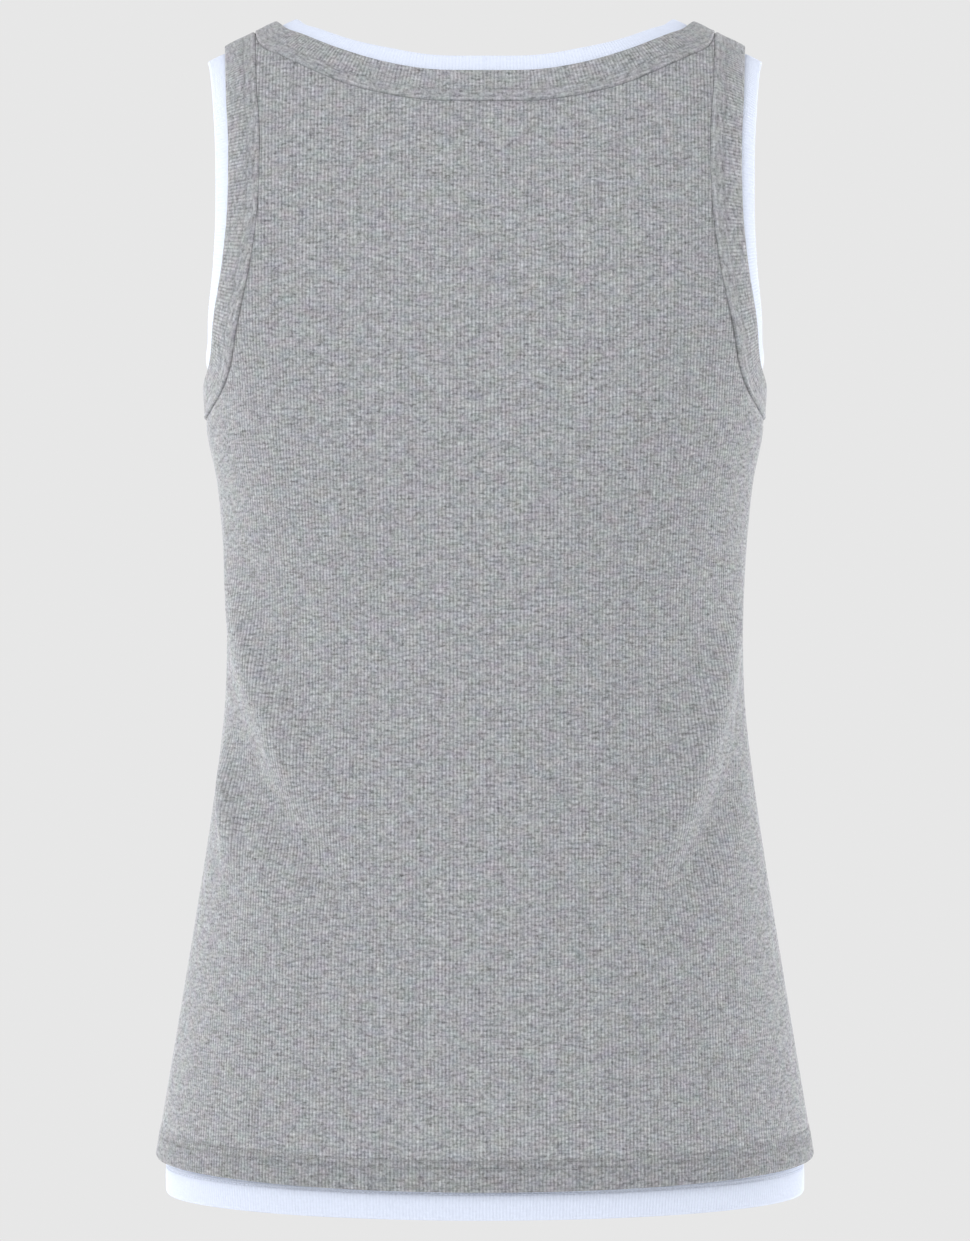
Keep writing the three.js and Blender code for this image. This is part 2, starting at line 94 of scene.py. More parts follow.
# Free edge of the grey arm binding from underarm to strap: height, share of the form's depth
ARM_EDGE = {
    BACK: (
        (-191, 0),
        (-188.5, 0.3),
        (-177, 0.525),
        (-150, 0.652),
        (-110, 0.73),
        (-70, 0.738),
        (-38, 0.72),
        (-16, 0.705),
    ),
    FRONT: (
        (-191, 0),
        (-188.5, 0.31),
        (-178, 0.55),
        (-151, 0.67),
        (-112, 0.733),
        (-72, 0.72),
        (-38, 0.675),
        (-15, 0.65),
    ),
}

# Free edge of the grey neck binding from centre to strap: distance across, height
NECK_EDGE = {
    BACK: ((0, -26.9), (28, -26.4), (54, -21.8), (78, -13.8), (97, -4.6), (107.5, 1.5)),
    FRONT: (
        (0, -113),
        (30, -107.5),
        (55, -91),
        (72, -68),
        (83.5, -43),
        (92.5, -21),
        (102, -4.5),
    ),
}

ARM_SWELL = 0.09
NECK_TAPER = 0.3
TAPER_START = 0.72
HEM_TURN = 16.0

LAYERS = {
    "outer": {
        "stand_out": {"arm": 0.0, "neck": 0.0},
        "binding": {"arm": 17.0, "neck": 18.0},
        "hem": -603.5,
        "dip": 6.7,
        "pitch": 1.0,
        "proud": 0.6,
        "under": np.array([(20, 0.0), (-640, 0.0)]),
        "rows": 6.2,
    },
    "inner": {
        "stand_out": {"arm": 12.6, "neck": 10.4},
        "binding": {"arm": 17.0, "neck": 18.0},
        "hem": -622.0,
        "dip": 3.5,
        "pitch": 0.93,
        "proud": 0.4,
        "under": np.array(
            [
                (20, 3.5),
                (-60, 3.7),
                (-150, 4.1),
                (-200, 4.7),
                (-330, 5.3),
                (-460, 5.4),
                (-560, 5.6),
                (-605, 6.2),
                (-625, 9.3),
                (-640, 11.0),
            ]
        ),
        "rows": 12.5,
    },
}
PANEL_WALL = 1.2
HEM_WALL = 2.1
BINDING_WALL = 2.4
PANEL_GAP = 0.25
SIDE_GAP = 0.15

# Drag lines: three points (distance round from the centre, height), half width and rise
FOLDS = {
    BACK: (
        (-172, -268, -140, -345, -98, -420, 15, 4.6),
        (-160, -362, -118, -425, -56, -480, 17, -3.6),
        (-168, -378, -163, -412, -150, -452, 9, 3.6),
        (172, -290, 132, -360, 92, -460, 15, 4.6),
        (160, -392, 124, -432, 84, -482, 15, -3.6),
    ),
    FRONT: (
        (-176, -262, -140, -318, -92, -352, 12, 4),
        (-168, -330, -130, -372, -70, -404, 13, -3),
        (178, -256, 146, -306, 100, -344, 11, 4),
        (170, -344, 128, -388, 78, -424, 14, -3),
    ),
}
# How much fuller than the solid's the drag lines are
FOLD_FULLNESS = 1.8
FOLD_STEPS = 20
FOLD_TOP = -225.0
FOLD_FADE = 28.0

# Needle rows of the coverstitch: distance from the binding's seam, and above the hem's edge
BINDING_ROWS = (2.4, 6.2)
# Painted shade on the white bindings: their colour is the white panels' colour darkened by this
# share, standing in for less light on them
WHITE_BINDING_PAINTED_SHADE = 0.93
HEM_ROWS = {"outer": (11.8, 15.8), "inner": (13.8, 15.9)}


def smoothstep(value, reach):
    t = np.clip(value / reach, 0, 1)
    return t * t * (3 - 2 * t)


def bell(value, width):
    return np.exp(-((value / width) ** 2))


def curve_through(rows, column, z):
    """A smooth curve through one column of a table whose heights fall row by row."""
    heights, values = rows[:, 0], rows[:, column]
    z = np.clip(z, heights[-1], heights[0])
    below = np.clip(np.searchsorted(-heights, -z, side="left"), 1, len(heights) - 1)
    above = below - 1
    upper = np.maximum(np.arange(len(heights)) - 1, 0)
    lower = np.minimum(np.arange(len(heights)) + 1, len(heights) - 1)
    slopes = (values[upper] - values[lower]) / (heights[upper] - heights[lower])
    span = heights[below] - heights[above]
    t = (z - heights[above]) / span
    eased = t * t * (3 - 2 * t)
    leaving = t * (1 - t) ** 2 * span * slopes[above]
    arriving = t * t * (t - 1) * span * slopes[below]
    return values[above] + (values[below] - values[above]) * eased + leaving + arriving


def form_at(side, z):
    """Half width, depth and squareness of the form's section at each height."""
    shift = 0 if side == BACK else 1
    return (
        curve_through(FORM, 1, z),
        curve_through(FORM, 2 + shift, z),
        curve_through(FORM, 4 + shift, z),
    )


def shoulder_line(x):
    """Height of the shoulder line, rounded off between the straps."""
    out = np.abs(x)
    soft = np.where(out < NAPE, out * out / (2 * NAPE) + NAPE / 2, out)
    return STRAP_NECK[1] - SHOULDER_SLOPE * (soft - STRAP_NECK[0])


def drop_of(roll):
    turn = np.abs(roll)
    rolled = np.where(turn < np.pi / 2, 1 - np.cos(turn), 1 + turn - np.pi / 2)
    return SHOULDER_ROLL * rolled


def roll_of(drop):
    rolled = np.maximum(drop, 0) / SHOULDER_ROLL
    return np.where(rolled < 1, np.arccos(1 - np.minimum(rolled, 1)), rolled - 1 + np.pi / 2)


def fullness(roll):
    return np.where(np.abs(roll) < np.pi / 2, np.sin(roll), np.sign(roll))


def share_at(half, square, x):
    return np.maximum(0, 1 - (np.abs(x) / half) ** square) ** (1 / square)


def half_width_at(half, square, share):
    return half * np.maximum(0, 1 - np.abs(share) ** square) ** (1 / square)


def arm_chart(side, share, roll):
    """Points on the form from their share of the depth and their roll."""
    drop = drop_of(roll)
    z = -drop
    for _ in range(12):
        half, depth, square = form_at(side, z)
        x = half_width_at(half, square, share)
        z = shoulder_line(x) - drop
    half, depth, square = form_at(side, z)
    return np.stack([x, side * depth * fullness(roll) * share, z], axis=-1)


def neck_chart(side, x, roll):
    """Points on the form from their distance across and their roll."""
    z = shoulder_line(x) - drop_of(roll)
    half, depth, square = form_at(side, z)
    y = side * depth * fullness(roll) * share_at(half, square, x)
    return np.stack([x, y, z], axis=-1)


def outward(side, points):
    """Directions that face away from the body at points of the form."""
    x, y, z = points.T

    def half_depth_squared(x, z):
        half, depth, square = form_at(side, z)
        drop = shoulder_line(x) - z
        rolled = np.where(drop < SHOULDER_ROLL, 1 - (1 - drop / SHOULDER_ROLL) ** 2, 1)
        return 0.5 * (depth * share_at(half, square, x)) ** 2 * rolled

    step = 0.05
    across = half_depth_squared(x + step, z) - half_depth_squared(x - step, z)
    upward = half_depth_squared(x, z + step) - half_depth_squared(x, z - step)
    way = np.stack([-across / (2 * step), y, -upward / (2 * step)], axis=-1)
    return way / np.linalg.norm(way, axis=1, keepdims=True)


EDGE_STEPS = 96


def smooth_line(points):
    """A Catmull-Rom line through chart points that meets its mirror image squarely."""
    points = np.array(points, float)
    start = points[1] * (-1, 1)
    end = points[-2] * (1, -1)
    knots = np.vstack([start, points, end])
    last = len(points) - 1
    at = last * np.arange(EDGE_STEPS + 1) / EDGE_STEPS
    span = np.minimum(at.astype(int), last - 1)
    t = (at - span)[:, None]
    p0, p1, p2, p3 = (knots[span + k] for k in range(4))
    v0, v1 = (p2 - p0) / 2, (p3 - p1) / 2
    cubic = (2 * p1 - 2 * p2 + v0 + v1) * t**3
    return cubic + (-3 * p1 + 3 * p2 - 2 * v0 - v1) * t**2 + v0 * t + p1


def moved(chart, side, line, distance):
    """A chart line moved sideways over the cloth, by a distance for each of its points."""
    passes, probe = 6, 0.001
    now = line.copy()
    for _ in range(passes):
        before = np.vstack([now[1] * (-1, 1), now[:-1]])
        after = np.vstack([now[1:], now[-2] * (1, -1)])
        a, b = now.T
        along_a = (chart(side, a + probe, b) - chart(side, a - probe, b)) / (2 * probe)
        along_b = (chart(side, a, b + probe) - chart(side, a, b - probe)) / (2 * probe)
        aa = (along_a * along_a).sum(1)
        ab = (along_a * along_b).sum(1)
        bb = (along_b * along_b).sum(1)
        da, db = (after - before).T
        way = np.stack([-(ab * da + bb * db), aa * da + ab * db])
        length = np.sqrt(aa * way[0] ** 2 + 2 * ab * way[0] * way[1] + bb * way[1] ** 2)
        now = now + (way * (distance / passes / length)).T
    return now


def edge_line(layer, side, kind, distance):
    """Points of the line at a distance from a layer's free edge."""
    along = np.arange(EDGE_STEPS + 1) / EDGE_STEPS
    if kind == "arm":
        rows = np.array(ARM_EDGE[side], float)
        half, _, square = form_at(side, rows[:, 0])
        x = half_width_at(half, square, rows[:, 1])
        half, _, square = form_at(side, STRAP_ARM[1])
        points = list(zip(rows[:, 1], roll_of(shoulder_line(x) - rows[:, 0])))
        points.append((share_at(half, square, STRAP_ARM[0]), 0))
        swell = 1 + ARM_SWELL * np.sin(np.pi * along)
        sideways = (distance - layer["stand_out"]["arm"]) * swell
        chart = arm_chart
    else:
        rows = np.array(NECK_EDGE[side], float)
        points = list(zip(rows[:, 0], roll_of(shoulder_line(rows[:, 0]) - rows[:, 1])))
        points.append((STRAP_NECK[0], 0))
        taper = NECK_TAPER * smoothstep(along - TAPER_START, 1 - TAPER_START)
        sideways = distance * (1 - taper) - layer["stand_out"]["neck"]
        chart = neck_chart
    line = moved(chart, side, smooth_line(points), sideways)
    return chart(side, *line.T)


# Distances round the form, for ribs that keep their pitch
LEVEL_STEP = 5.0
LOWEST_LEVEL = -645.0


class Girth:
    """Distance round the form from its centre line, at every height, and the way back."""

    def __init__(self, side):
        self.side = side
        self.levels = np.arange(STRAIGHT_ABOVE, LOWEST_LEVEL, -LEVEL_STEP)
        turn = np.linspace(0, 1, 801)
        angle = np.pi / 2 * turn * turn * (3 - 2 * turn)
        self.even = np.linspace(0, 1, 481)
        self.lengths, self.across, self.shares = [], [], []
        for z in self.levels:
            half, depth, square = form_at(side, z)
            x = half * np.sin(angle) ** (2 / square)
            share = np.cos(angle) ** (2 / square)
            length = np.concatenate([[0], np.cumsum(np.hypot(np.diff(x), np.diff(depth * share)))])
            self.lengths.append(length[-1])
            self.across.append(np.interp(self.even, length / length[-1], x / half))
            self.shares.append(np.interp(self.even, length / length[-1], share))
        self.lengths = np.array(self.lengths)
        self.across = np.array(self.across)
        self.shares = np.array(self.shares)

    def total(self, z):
        """Distance round to the side seam."""
        return np.interp(-np.minimum(z, STRAIGHT_ABOVE), -self.levels, self.lengths)

    def lookup(self, table, z, fraction):
        level = np.clip((STRAIGHT_ABOVE - z) / LEVEL_STEP, 0, len(self.levels) - 1.001)
        column = np.clip(fraction, 0, 1) * (len(self.even) - 1.001)
        i, j = level.astype(int), column.astype(int)
        s, t = level - i, column - j
        upper = table[i, j] * (1 - t) + table[i, j + 1] * t
        lower = table[i + 1, j] * (1 - t) + table[i + 1, j + 1] * t
        return upper * (1 - s) + lower * s

    def points(self, w, z):
        """Points on the form from their distance round and their height."""
        level = np.minimum(z, STRAIGHT_ABOVE)
        fraction = np.abs(w) / self.total(level)
        half, depth, square = form_at(self.side, level)
        x = half * self.lookup(self.across, level, fraction)
        share = self.lookup(self.shares, level, fraction)
        half, depth, square = form_at(self.side, z)
        share = np.where(z > STRAIGHT_ABOVE, share_at(half, square, x), share)
        y = self.side * depth * fullness(roll_of(shoulder_line(x) - z)) * share
        return np.stack([np.sign(w) * x, y, z], axis=-1)

    def distance(self, points):
        """Distance round of points on the form."""
        x, y, z = points.T
        level = np.minimum(z, STRAIGHT_ABOVE)
        half, depth, square = form_at(self.side, level)
        found = []
        for xi, yi, zi, hi, di in zip(x, y, z, half, depth):
            row = int(round((STRAIGHT_ABOVE - min(zi, STRAIGHT_ABOVE)) / LEVEL_STEP))
            row = min(row, len(self.levels) - 1)
            by_width = np.interp(xi / hi, self.across[row], self.even)
            by_depth = np.interp(-abs(yi) / di, -self.shares[row], self.even)
            steep = zi <= STRAIGHT_ABOVE and by_width > 0.6
            found.append((by_depth if steep else by_width) * self.total(zi))
        return np.array(found)


GIRTHS = {side: Girth(side) for side in (BACK, FRONT)}


def fold_rise(side, w, z, side_w):
    """How far the drag lines lift the cloth."""
    fade = smoothstep(side_w - np.abs(w), FOLD_FADE) * smoothstep(FOLD_TOP - z, FOLD_FADE)
    rise = np.zeros_like(w)
    for r0, z0, r1, z1, r2, z2, width, height in FOLDS[side]:
        strongest = np.zeros_like(w)
        for i in range(1, FOLD_STEPS):
            t = i / FOLD_STEPS
            r = (1 - t) ** 2 * r0 + 2 * t * (1 - t) * r1 + t * t * r2
            h = (1 - t) ** 2 * z0 + 2 * t * (1 - t) * z1 + t * t * z2
            away = ((w - r) ** 2 + (z - h) ** 2) / width**2
            strongest = np.maximum(strongest, math.sin(math.pi * t) * np.exp(-away))
        rise += height * strongest
    return FOLD_FULLNESS * rise * fade


def unevenness(side, w, z):
    """Slow, slight waves of soft cloth, from half a millimetre in to half out."""
    first = np.sin(w / 31.0 + z / 83.0 + side) * np.sin(z / 57.0 - w / 140.0)
    second = np.sin(w / 17.0 - z / 61.0 + 2 * side) * np.sin(z / 38.0 + w / 90.0)
    return 0.3 * first + 0.18 * second


# Meshes
class Shell:
    """Vertices, faces and cloth attributes of one piece, in millimetres."""

    def __init__(self):
        self.points, self.cloth, self.edges, self.ribs = [], [], [], []
        self.faces = []
        self.count = 0

    def add(self, points, cloth, edges, ribs):
        """Adds vertices and returns their numbers."""
        self.points.append(points)
        self.cloth.append(cloth)
        self.edges.append(edges)
        self.ribs.append(ribs)
        self.count += len(points)
        return np.arange(self.count - len(points), self.count)

    def zip_rows(self, upper, upper_w, lower, lower_w, flip):
        """Fills the strip between two rows of vertices, each sorted by its distance round."""
        steps = np.concatenate([upper_w[1:], lower_w[1:]])
        is_upper = np.concatenate([np.ones(len(upper) - 1, bool), np.zeros(len(lower) - 1, bool)])
        order = np.argsort(steps, kind="stable")
        is_upper = is_upper[order]
        i = np.concatenate([[0], np.cumsum(is_upper)[:-1]])
        j = np.concatenate([[0], np.cumsum(~is_upper)[:-1]])
        third = np.where(
            is_upper,
            upper[np.minimum(i + 1, len(upper) - 1)],
            lower[np.minimum(j + 1, len(lower) - 1)],
        )
        strip = np.stack([upper[i], lower[j], third], axis=1)
        self.faces.append(strip[:, ::-1] if flip else strip)

    def build(self, name, material, slot, *nodes):
        """The finished object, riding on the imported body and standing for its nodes."""
        points = np.vstack(self.points) * MM
        faces = np.vstack(self.faces)
        corners = points[faces]
        volume = np.einsum("ij,ij->i", corners[:, 0], np.cross(corners[:, 1], corners[:, 2])).sum()
        if volume < 0:
            faces = faces[:, ::-1]
        mesh = bpy.data.meshes.new(name)
        mesh.vertices.add(len(points))
        mesh.vertices.foreach_set("co", points.astype(np.float32).ravel())
        mesh.loops.add(faces.size)
        mesh.loops.foreach_set("vertex_index", faces.astype(np.int32).ravel())
        mesh.polygons.add(len(faces))
        mesh.polygons.foreach_set("loop_start", np.arange(0, faces.size, 3, dtype=np.int32))
        for key, rows in (("cloth", self.cloth), ("edges", self.edges)):
            data = mesh.attributes.new(key, "FLOAT_VECTOR", "POINT").data
            data.foreach_set("vector", np.vstack(rows).astype(np.float32).ravel())
        data = mesh.attributes.new("rib", "FLOAT", "POINT").data
        data.foreach_set("value", np.concatenate(self.ribs).astype(np.float32))
        mesh.update(calc_edges=True)
        if mesh.validate():
            raise RuntimeError(f"{name} had faces that Blender could not keep")
        mesh.shade_smooth()
        mesh.set_sharp_from_angle(angle=math.radians(66))
        piece = bpy.data.objects.new(name, mesh)
        bpy.context.scene.collection.objects.link(piece)
        mesh.materials.append(material)
        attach(piece, "root")
        if nodes:
            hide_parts(*nodes)
        return piece


# Heights of the columns that make one rib
RIB_SHAPE = np.array([1.0, 0.3, -1.0, 0.3])
RIB_STEPS = len(RIB_SHAPE)
LINING_STEP = 4.0
# Stands for no seam nearby, and leaves the cloth plain
FAR = 40.0
# Where each kind of piece is cut from the marl, so that no two match
SWATCH = {"panel": 300.0, "lining": 90.0, "arm": 700.0, "neck": 1100.0, "mirror": 400.0}
# Rows of vertices over the hem's edge
HEM_LEVELS = np.array([16.2, 15.6, 12.5, 9.0, 5.5, 2.8, 1.2, 0.4, 0.0])
HEM_CLEAR = 18.5


def rib_height(w, pitch):
    """The rib's profile, from 1 on its crown to -1 in its groove."""
    at = np.abs(w) / pitch * RIB_STEPS
    i = np.floor(at).astype(int)
    t = at - i
    return RIB_SHAPE[i % RIB_STEPS] * (1 - t) + RIB_SHAPE[(i + 1) % RIB_STEPS] * t


class Panel:
    """The outline of a front or back panel in distances round and heights."""

    def __init__(self, layer, side):
        self.layer, self.side, self.girth = layer, side, GIRTHS[side]
        arm = edge_line(layer, side, "arm", layer["binding"]["arm"] + PANEL_GAP)
        neck = edge_line(layer, side, "neck", layer["binding"]["neck"] + PANEL_GAP)
        self.arm_w, self.arm_z = self.girth.distance(arm), arm[:, 2]
        neck_w, neck_z = self.girth.distance(neck), neck[:, 2]
        self.underarm = self.arm_z[0]
        self.arm_w[0] = self.girth.total(self.underarm)
        self.seams = (arm, neck)
        past = neck_w - np.interp(neck_z, self.arm_z, self.arm_w)
        crossed = np.nonzero(past >= 0)[0]
        if len(crossed):
            k = crossed[0]
            t = -past[k - 1] / (past[k] - past[k - 1])
            corner_w = neck_w[k - 1] + (neck_w[k] - neck_w[k - 1]) * t
            corner_z = neck_z[k - 1] + (neck_z[k] - neck_z[k - 1]) * t
            self.top_w = np.append(neck_w[:k], corner_w)
            self.top_z = np.append(neck_z[:k], corner_z)
        else:
            shoulder_w = np.linspace(neck_w[-1], self.arm_w[-1], 12)[1:]
            level = np.full_like(shoulder_w, STRAIGHT_ABOVE)
            x = self.girth.points(shoulder_w, level)[:, 0]
            self.top_w = np.append(neck_w, shoulder_w)
            self.top_z = np.append(neck_z, shoulder_line(x) - 0.02)
        self.corner = self.top_z[-1]

    def heights(self):
        """Nominal row heights at the side, from the top corner to the hem."""
        turn = np.linspace(0, np.pi / 2, 11)
        drops = SHOULDER_ROLL * (1 - np.cos(turn))
        step = self.layer["rows"]
        rest = self.corner - drops[-1] - self.underarm
        arm = np.linspace(0, rest, int(rest / step) + 1)[1:] + drops[-1]
        body_drop = self.underarm - self.layer["hem"]
        plain = body_drop - HEM_CLEAR
        body = np.linspace(0, plain, int(plain / step) + 1)[1:]
        hem = body_drop - HEM_LEVELS
        return np.concatenate(
            [self.corner - drops, self.corner - arm, self.underarm - body, self.underarm - hem]
        )

    def row(self, height, columns):
        """Distances round and heights of one row's vertices, from side to side."""
        if height > self.underarm:
            share = (height - self.underarm) / (self.corner - self.underarm)

            def level(w):
                top = np.interp(np.abs(w), self.top_w, self.top_z)
                return self.underarm + share * (top - self.underarm)

            trial = np.arange(0, self.girth.total(self.underarm) + 2, 0.25)
            past = trial - np.interp(level(trial), self.arm_z, self.arm_w)
            k = max(1, np.nonzero(past >= 0)[0][0])
            t = -past[k - 1] / (past[k] - past[k - 1])
            end = trial[k - 1] + 0.25 * t
            end = min(end, self.top_w[-1]) if share > 0.9999 else end
        else:
            end = self.girth.total(height) - SIDE_GAP
            drop = (self.underarm - height) / (self.underarm - self.layer["hem"])

            def level(w):
                return height - drop * self.layer["dip"] * (1 - (np.abs(w) / end) ** 2)

        inside = columns[np.abs(columns) < end - 0.3 * (columns[1] - columns[0])]
        w = np.concatenate([[-end], inside, [end]])
        return w, level(w), end


def seam_tree(panel):
    """A search tree of points along a panel's bound edges, on both sides of the centre."""
    dense = []
    for line in panel.seams:
        length = np.concatenate([[0], np.cumsum(np.linalg.norm(np.diff(line, axis=0), axis=1))])
        even = np.arange(0, length[-1], 0.3)
        fine = np.stack([np.interp(even, length, line[:, k]) for k in range(3)], axis=1)
        dense += [fine, fine * (-1, 1, 1)]
    dense = np.vstack(dense)
    tree = kdtree.KDTree(len(dense))
    for i, point in enumerate(dense):
        tree.insert(point, i)
    tree.balance()
    return tree


def knit_panel(name, layer_name, side, sizes, material, slot, node):
    """A front or back panel: two sheets of rows and columns, joined round their rims."""
    layer = LAYERS[layer_name]
    panel = Panel(layer, side)
    tree = seam_tree(panel)
    pitch = sizes.rib_pitch / MM * layer["pitch"]
    relief = sizes.rib_relief / MM
    shell = Shell()
    heights = panel.heights()
    widest = panel.girth.total(layer["hem"]) + 2
    rims = []
    for face in (0, 1):
        step = pitch / RIB_STEPS if face == 0 else LINING_STEP
        count = int(widest / step)
        columns = np.arange(-count, count + 1) * step
        previous = None
        rows = []
        for height in heights:
            w, z, end = panel.row(height, columns)
            form = panel.girth.points(w, z)
            normal = outward(side, form)
            above_hem = z - (layer["hem"] - layer["dip"] * (1 - (w / end) ** 2))
            to_side = end - np.abs(w) if height < panel.underarm else np.full_like(w, FAR)
            to_seam = np.full_like(w, FAR)
            if height > panel.underarm - 45:
                to_seam = np.array([min(tree.find(p)[2], FAR) for p in form])
            rib = rib_height(w, pitch) if face == 0 else np.zeros_like(w)
            calm = smoothstep(to_seam, 1.2) * smoothstep(to_side, 1.0) * smoothstep(above_hem, 1.2)
            lift = fold_rise(side, w, z, panel.girth.total(z))
            lift += unevenness(side, w, z) * smoothstep(to_seam, 30) * smoothstep(to_side, 25)
            lift -= curve_through(layer["under"], 1, z)
            drawn = 0.1 + 0.35 * smoothstep(-90 - z, 70)
            rolled = drawn * bell(to_seam, 0.8) + 0.4 * bell(to_side, 0.9)
            rolled += 0.75 * bell(above_hem, 0.7)
            if face == 0:
                lift += relief / 2 * (rib - 1) * calm - rolled
                lift += 0.3 * smoothstep(HEM_TURN - above_hem, 1.0)
            else:
                doubled = smoothstep(HEM_TURN - above_hem, 1.0)
                lift += rolled * 0.6 - relief / 2 * (rib - 1) * calm
                lift -= PANEL_WALL + (HEM_WALL - PANEL_WALL) * doubled
            points = form + normal * lift[:, None]
            near = side * points[:, 1] < SIDE_GAP
            points[near, 1] = side * SIDE_GAP
            offset = SWATCH["panel"] * side + SWATCH["lining"] * face
            cloth = np.stack([w, z, np.full_like(w, offset)], axis=1)
            edges = np.stack([to_seam, above_hem, to_side], axis=1)
            numbers = shell.add(points, cloth, edges, rib)
            if previous is not None:
                shell.zip_rows(previous[0], previous[1], numbers, w, face == 1)
            previous = (numbers, w)
            rows.append((numbers, w))
        rims.append(rows)
    front, lining = rims
    shell.zip_rows(lining[0][0], lining[0][1], front[0][0], front[0][1], False)
    shell.zip_rows(front[-1][0], front[-1][1], lining[-1][0], lining[-1][1], False)
    for end, flip in ((0, False), (-1, True)):
        outer = np.array([row[0][end] for row in front])
        inner = np.array([row[0][end] for row in lining])
        step = np.arange(len(outer), dtype=float)
        shell.zip_rows(outer, step, inner, step, flip)
    return shell.build(name, material, slot, node)


def binding_profile(width):
    """Cross-section of a folded strip: distance from the free edge, height, share of the ribs."""
    wall = BINDING_WALL
    near, far = (width - row for row in BINDING_ROWS)
    return np.array(
        [
            (0.7, -wall + 0.05, 0.5),
            (0.15, -wall + 0.55, 0.4),
            (0.0, -wall / 2, 0.4),
            (0.15, -0.55, 0.5),
            (0.7, -0.08, 0.8),
            (2.2, 0.12, 1.0),
            (far - 3.4, 0.22, 1.0),
            (far - 0.7, 0.14, 1.0),
            (far, -0.1, 0.5),
            (far + 0.7, 0.06, 0.4),
            (near - 0.7, 0.08, 0.35),
            (near, -0.04, 0.3),
            (near + 0.8, 0.2, 0.3),
            (width - 0.5, 0.06, 0.3),
            (width, -0.62, 0.2),
            (width - 0.1, -wall, 0.2),
            (width * 0.5, -wall, 0.6),
        ]
    )


def knit_binding(name, layer_name, kind, mirror, sizes, material, slot, node):
    """A rib strip folded over an edge, with its ribs square to the edge."""
    layer = LAYERS[layer_name]
    pitch = sizes.rib_pitch / MM * layer["pitch"]
    relief = sizes.rib_relief / MM * 0.8
    width = layer["binding"][kind]
    profile = binding_profile(width)
    middle = {side: edge_line(layer, side, kind, width / 2) for side in (BACK, FRONT)}
    reach = {}
    for side, line in middle.items():
        gaps = np.linalg.norm(np.diff(line, axis=0), axis=1)
        reach[side] = np.concatenate([[0], np.cumsum(gaps)])
    total = reach[BACK][-1] + reach[FRONT][-1]
    stations = RIB_STEPS * int(round(total / pitch))
    along = np.arange(stations + 1) * total / stations
    on_back = along <= reach[BACK][-1]
    index = np.where(
        on_back,
        np.interp(along, reach[BACK], np.arange(EDGE_STEPS + 1)),
        np.interp(total - along, reach[FRONT], np.arange(EDGE_STEPS + 1)),
    )
    rib = RIB_SHAPE[np.arange(stations + 1) % RIB_STEPS]
    rings = []
    for across, height, calm in profile:
        point = np.zeros((stations + 1, 3))
        normal = np.zeros((stations + 1, 3))
        for side, chosen in ((BACK, on_back), (FRONT, ~on_back)):
            line = edge_line(layer, side, kind, across)
            numbers = np.arange(EDGE_STEPS + 1)
            at = np.stack([np.interp(index[chosen], numbers, line[:, k]) for k in range(3)], axis=1)
            point[chosen] = at
            normal[chosen] = outward(side, at)
        lift = layer["proud"] - curve_through(layer["under"], 1, point[:, 2]) + height
        sign = 1.0 if height > -BINDING_WALL / 2 else -1.0
        lift = lift + sign * calm * relief / 2 * (rib - 1)
        rings.append(point + normal * lift[:, None])
    sections = np.stack(rings, axis=1)
    if kind == "neck":
        left = sections[::-1][1:-1] * (-1, 1, 1)
        sections = np.concatenate([sections, left])
        along = np.concatenate([along, (2 * total - along[::-1][1:-1])])
        rib = np.concatenate([rib, rib[::-1][1:-1]])
    else:
        sections, along, rib = sections[:-1], along[:-1], rib[:-1]
        if mirror:
            sections = sections * (-1, 1, 1)
    count, size = sections.shape[:2]
    shell = Shell()
    offset = SWATCH[kind] + (SWATCH["mirror"] if mirror else 0.0)
    across = np.tile(profile[:, 0], count)
    cloth = np.stack([np.repeat(along, size), across, np.full(count * size, offset)], axis=1)
    still = np.full(count * size, FAR)
    edges = np.stack([width - across, still, still], axis=1)
    shell.add(sections.reshape(-1, 3), cloth, edges, np.outer(rib, profile[:, 2]).ravel())
    i = np.arange(count)[:, None]
    c = np.arange(size)[None, :]
    a = i * size + c
    b = (i + 1) % count * size + c
    d = i * size + (c + 1) % size
    e = (i + 1) % count * size + (c + 1) % size
    shell.faces.append(np.stack([a, b, e], axis=-1).reshape(-1, 3))
    shell.faces.append(np.stack([a, e, d], axis=-1).reshape(-1, 3))
    return shell.build(name, material, slot, node)


# Stitching
THREAD_SIDES = 5


